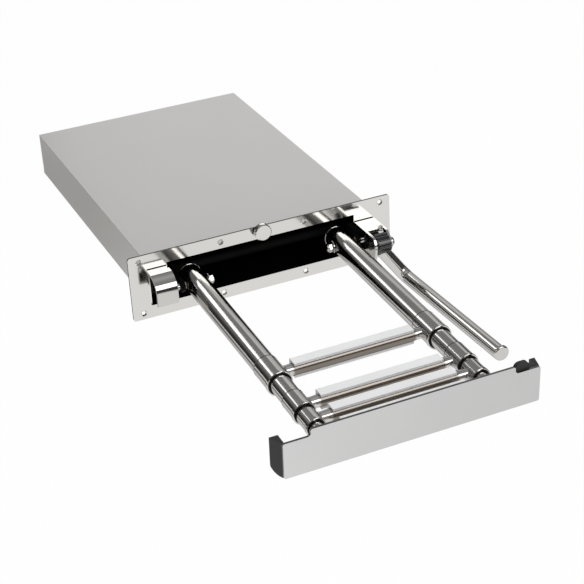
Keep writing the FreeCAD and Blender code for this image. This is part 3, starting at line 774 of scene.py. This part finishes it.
class LADDER_OT_collars(bpy.types.Operator):
    """Mark where each collar begins with a bead of painted shade, and hold its black ring in a
    steel lip
    """

    bl_idname = "ladder.collars"
    bl_label = "Collars"

    def execute(self, context):
        look = finishes()
        sizes = fasteners()
        # Painted shade: dark steel for the bead at each collar's start
        dark = satin_metal("collar_bead_steel", shaded(look.tube_colour, COLLAR_SHADE_SHARE),
                           COLLAR_BEAD_GLOSS, SEAM_GRAIN)
        steel = polished_metal("collar_lip_steel", look.tube_colour, look.tube_gloss)
        lengths = (sizes.collar_1, sizes.collar_2, sizes.collar_3)
        for section, (body, reach) in enumerate(zip(STEP_BODIES, lengths), 1):
            beads, lips = [], []
            for side in SIDES:
                down = (middle_of("ring_3_" + side) - middle_of("ring_1_" + side)).normalized()
                ring = "ring_" + str(section) + "_" + side
                low, high = node_box(ring)
                radius = (high.x - low.x) / 2
                half = (high.y - low.y - 2 * radius * abs(down.z)) / 2 / abs(down.y)
                end = middle_of(ring) + down * half
                bead = ring_bead(radius - sizes.lip_wall, sizes.collar_bead, sizes.bead_turns)
                put(bead, end - down * (2 * half + reach), down)
                beads.append(bead)
                lip = turned_ring(self.lip_outline(radius, sizes))
                put(lip, end, down)
                lips.append(lip)
            finish_piece("collar_beads_" + str(section), merged(beads), dark.material, body)
            finish_piece("collar_lips_" + str(section), merged(lips), steel.material, body)
        return {"FINISHED"}

    def lip_outline(self, radius, sizes):
        """A thin wall round the ring, with a chamfered rim that covers the edge of its end."""
        wall, rim = sizes.lip_wall, radius - sizes.lip_cover
        chamfer = wall * LIP_CHAMFER
        return [(radius, -sizes.lip_length), (radius + wall, -sizes.lip_length),
                (radius + wall, chamfer), (radius + chamfer, wall), (rim, wall), (rim, 0.0),
                (radius, 0.0)]


class LADDER_OT_seams(bpy.types.Operator):
    """Lay a bead where the hook and the bracket stand on the flange, coloured dark as painted shade
    of the gap there
    """

    bl_idname = "ladder.seams"
    bl_label = "Strap seams"

    def execute(self, context):
        sizes = fasteners()
        dark = satin_metal("seam_steel", shaded(finishes().plate_colour, SEAM_SHADE_SHARE), SEAM_GLOSS,
                           SEAM_GRAIN)
        shapes = []
        for name in ("hook_left", "handle_bracket"):
            low, high = node_box(name)
            y, z = high.y - sizes.seam_radius * SEAM_SINK, high.z
            start = Vector((low.x + sizes.seam_radius, y, z))
            end = Vector((high.x - sizes.seam_radius, y, z))
            shapes.append(straight_bead(start, end, sizes.seam_radius, SEAM_SIDES))
        finish_piece("strap_seams", merged(shapes), dark.material, "cassette")
        return {"FINISHED"}


class LADDER_OT_screws(bpy.types.Operator):
    """Set the small screws on the handle bracket"""

    bl_idname = "ladder.screws"
    bl_label = "Bracket screws"

    def execute(self, context):
        sizes = fasteners()
        steel = polished_metal("screw_steel", finishes().tube_colour, SCREW_GLOSS, SMALL_STREAK)
        low, high = node_box("handle_bracket")
        right, back = TOP_SCREW
        top = Vector(((low.x + high.x) / 2 + right, low.y + back, high.z))
        behind, below = SIDE_SCREW
        side = Vector((high.x, middle_of("handle_hub").y + behind, high.z - below))
        shapes = [socket_screw(place, axis, sizes.screw_radius, sizes.screw_height)
                  for place, axis in ((top, ALONG_Z), (side, ALONG_X))]
        finish_piece("bracket_screws", merged(shapes), steel.material, "cassette")
        return {"FINISHED"}


class LADDER_OT_stage(bpy.types.Operator):
    """Set up the pale floor, the soft light and the camera"""

    bl_idname = "ladder.stage"
    bl_label = "Studio"

    def execute(self, context):
        values = studio()
        self.lay_floor(values)
        self.light_world()
        self.hang_lights(values)
        self.stand_screen(values)
        self.set_camera(values)
        bpy.context.scene.view_settings.view_transform = "Standard"
        return {"FINISHED"}

    def lay_floor(self, values):
        """A pale floor, plain white to the camera and in the steel."""
        shader = Shader("pale_floor")
        shader.set("Base Color", values.floor_colour)
        shader.set("Roughness", FLOOR_ROUGHNESS)
        nodes, links = shader.tree.nodes, shader.tree.links
        rays = nodes.new("ShaderNodeLightPath").outputs
        glow = shader.add("ShaderNodeEmission", Strength=1.0)
        seen = shader.math("MAXIMUM", rays["Is Camera Ray"], rays["Is Glossy Ray"])
        seen = shader.math("MAXIMUM", seen, rays["Is Transmission Ray"])
        mix = nodes.new("ShaderNodeMixShader")
        links.new(shader.math("MULTIPLY", seen, FLOOR_WHITE), mix.inputs[0])
        links.new(shader.surface.outputs[0], mix.inputs[1])
        links.new(glow.outputs[0], mix.inputs[2])
        links.new(mix.outputs[0], nodes["Material Output"].inputs["Surface"])
        shape = bmesh.new()
        bmesh.ops.create_grid(shape, x_segments=1, y_segments=1, size=values.floor_size / 2)
        bmesh.ops.translate(shape, verts=shape.verts, vec=(0.0, 0.0, -values.floor_depth))
        floor = solid("floor", shape, shader.material)

    def light_world(self):
        """White to the camera; for light and reflections dark at the horizon and grey above."""
        world = bpy.data.worlds.new("studio")
        world.use_nodes = True
        bpy.context.scene.world = world
        nodes, links = world.node_tree.nodes, world.node_tree.links
        nodes.clear()
        coordinates = nodes.new("ShaderNodeTexCoord")
        split = nodes.new("ShaderNodeSeparateXYZ")
        links.new(coordinates.outputs["Generated"], split.inputs[0])
        ramp = nodes.new("ShaderNodeValToRGB")
        links.new(split.outputs["Z"], ramp.inputs[0])
        ramp.color_ramp.interpolation = "EASE"
        elements = ramp.color_ramp.elements
        while len(elements) < len(ROOM_LEVELS):
            elements.new(0.5)
        for element, (place, grey) in zip(elements, ROOM_LEVELS):
            element.position = place
            element.color = (grey, grey, grey, 1.0)
        room = nodes.new("ShaderNodeBackground")
        links.new(ramp.outputs[0], room.inputs["Color"])
        white = nodes.new("ShaderNodeBackground")
        white.inputs["Color"].default_value = (1.0, 1.0, 1.0, 1.0)
        rays = nodes.new("ShaderNodeLightPath")
        mix = nodes.new("ShaderNodeMixShader")
        links.new(rays.outputs["Is Camera Ray"], mix.inputs[0])
        links.new(room.outputs[0], mix.inputs[1])
        links.new(white.outputs[0], mix.inputs[2])
        output = nodes.new("ShaderNodeOutputWorld")
        links.new(mix.outputs[0], output.inputs["Surface"])

    def hang_lights(self, values):
        """The soft lights; the one above doesn't show in the steel."""
        for name, place, target, width, height in LAMPS:
            light = bpy.data.lights.new(name + "_light", "AREA")
            light.shape = "RECTANGLE"
            light.size = width
            light.size_y = height
            light.energy = getattr(values, name + "_power")
            lamp = bpy.data.objects.new(light.name, light)
            lamp.location = place
            lamp.visible_camera = False
            lamp.visible_glossy = name != "top"
            lamp.rotation_mode = "QUATERNION"
            lamp.rotation_quaternion = (Vector(target) - Vector(place)).to_track_quat("-Z", "Y")
            bpy.context.scene.collection.objects.link(lamp)

    def stand_screen(self, values):
        """A dark screen at the left behind and a grey cloth on the floor, for the steel alone."""
        black = Shader("dark_screen")
        black.set("Base Color", SCREEN_COLOUR)
        grey = Shader("grey_cloth")
        grey.set("Base Color", CLOTH_COLOUR)
        ring = bmesh.new()
        low = ring.verts.new((0.0, values.screen_distance, values.screen_low))
        high = ring.verts.new((0.0, values.screen_distance, values.screen_high))
        edge = ring.edges.new((low, high))
        bmesh.ops.spin(ring, geom=[low, high, edge], cent=(0.0, 0.0, 0.0), axis=ALONG_Z,
                       angle=values.screen_turn, steps=SCREEN_STEPS)
        cloth = bmesh.new()
        bmesh.ops.create_grid(cloth, x_segments=1, y_segments=1, size=0.5)
        bmesh.ops.scale(cloth, vec=CLOTH_SIZE, verts=cloth.verts)
        bmesh.ops.translate(cloth, verts=cloth.verts,
                            vec=(*CLOTH_PLACE, -values.floor_depth + CLOTH_LIFT))
        for name, shape, shader in (("screen", ring, black), ("cloth", cloth, grey)):
            card = solid(name, shape, shader.material)
            card.visible_camera = False
            card.visible_diffuse = False
            card.visible_shadow = False

    def set_camera(self, values):
        """The camera looks along azimuth and elevation, turned by roll about that line."""
        azimuth, elevation, roll = values.azimuth, values.elevation, values.roll
        forward = Vector((-math.sin(azimuth) * math.cos(elevation),
                          math.cos(azimuth) * math.cos(elevation), -math.sin(elevation)))
        level = Vector((math.cos(azimuth), math.sin(azimuth), 0.0))
        down = forward.cross(level)
        right = level * math.cos(roll) + down * math.sin(roll)
        under = down * math.cos(roll) - level * math.sin(roll)
        data = bpy.data.cameras.new("camera")
        data.lens = values.lens
        data.sensor_width = 36.0
        data.sensor_fit = "HORIZONTAL"
        data.clip_end = 100.0
        camera = bpy.data.objects.new("camera", data)
        turn = Matrix((right, -under, -forward)).transposed()
        camera.rotation_mode = "QUATERNION"
        camera.rotation_quaternion = turn.to_quaternion()
        camera.location = values.place
        bpy.context.scene.collection.objects.link(camera)
        bpy.context.scene.camera = camera


class LADDER_PT_panel(bpy.types.Panel):
    """Lists the steps that dress the ladder"""

    bl_idname = "LADDER_PT_panel"
    bl_label = "Boat ladder"
    bl_space_type = "VIEW_3D"
    bl_region_type = "UI"
    bl_category = "Ladder"

    def draw(self, context):
        for operator in OPERATORS:
            self.layout.operator(operator.bl_idname)


GROUPS = (LadderFinishes, LadderFasteners, LadderStudio)
OPERATORS = (LADDER_OT_cassette, LADDER_OT_rails, LADDER_OT_handle, LADDER_OT_carriage,
             LADDER_OT_welds, LADDER_OT_collars, LADDER_OT_seams, LADDER_OT_screws, LADDER_OT_stage)


def register():
    for item in (*GROUPS, *OPERATORS, LADDER_PT_panel):
        bpy.utils.register_class(item)
    bpy.types.Scene.ladder_finishes = PointerProperty(type=LadderFinishes)
    bpy.types.Scene.ladder_fasteners = PointerProperty(type=LadderFasteners)
    bpy.types.Scene.ladder_studio = PointerProperty(type=LadderStudio)


def unregister():
    del bpy.types.Scene.ladder_studio
    del bpy.types.Scene.ladder_fasteners
    del bpy.types.Scene.ladder_finishes
    for item in reversed((*GROUPS, *OPERATORS, LADDER_PT_panel)):
        bpy.utils.unregister_class(item)


def main():
    register()
    for operator in OPERATORS:
        group, name = operator.bl_idname.split(".")
        getattr(getattr(bpy.ops, group), name)()


if __name__ == "__main__":
    main()
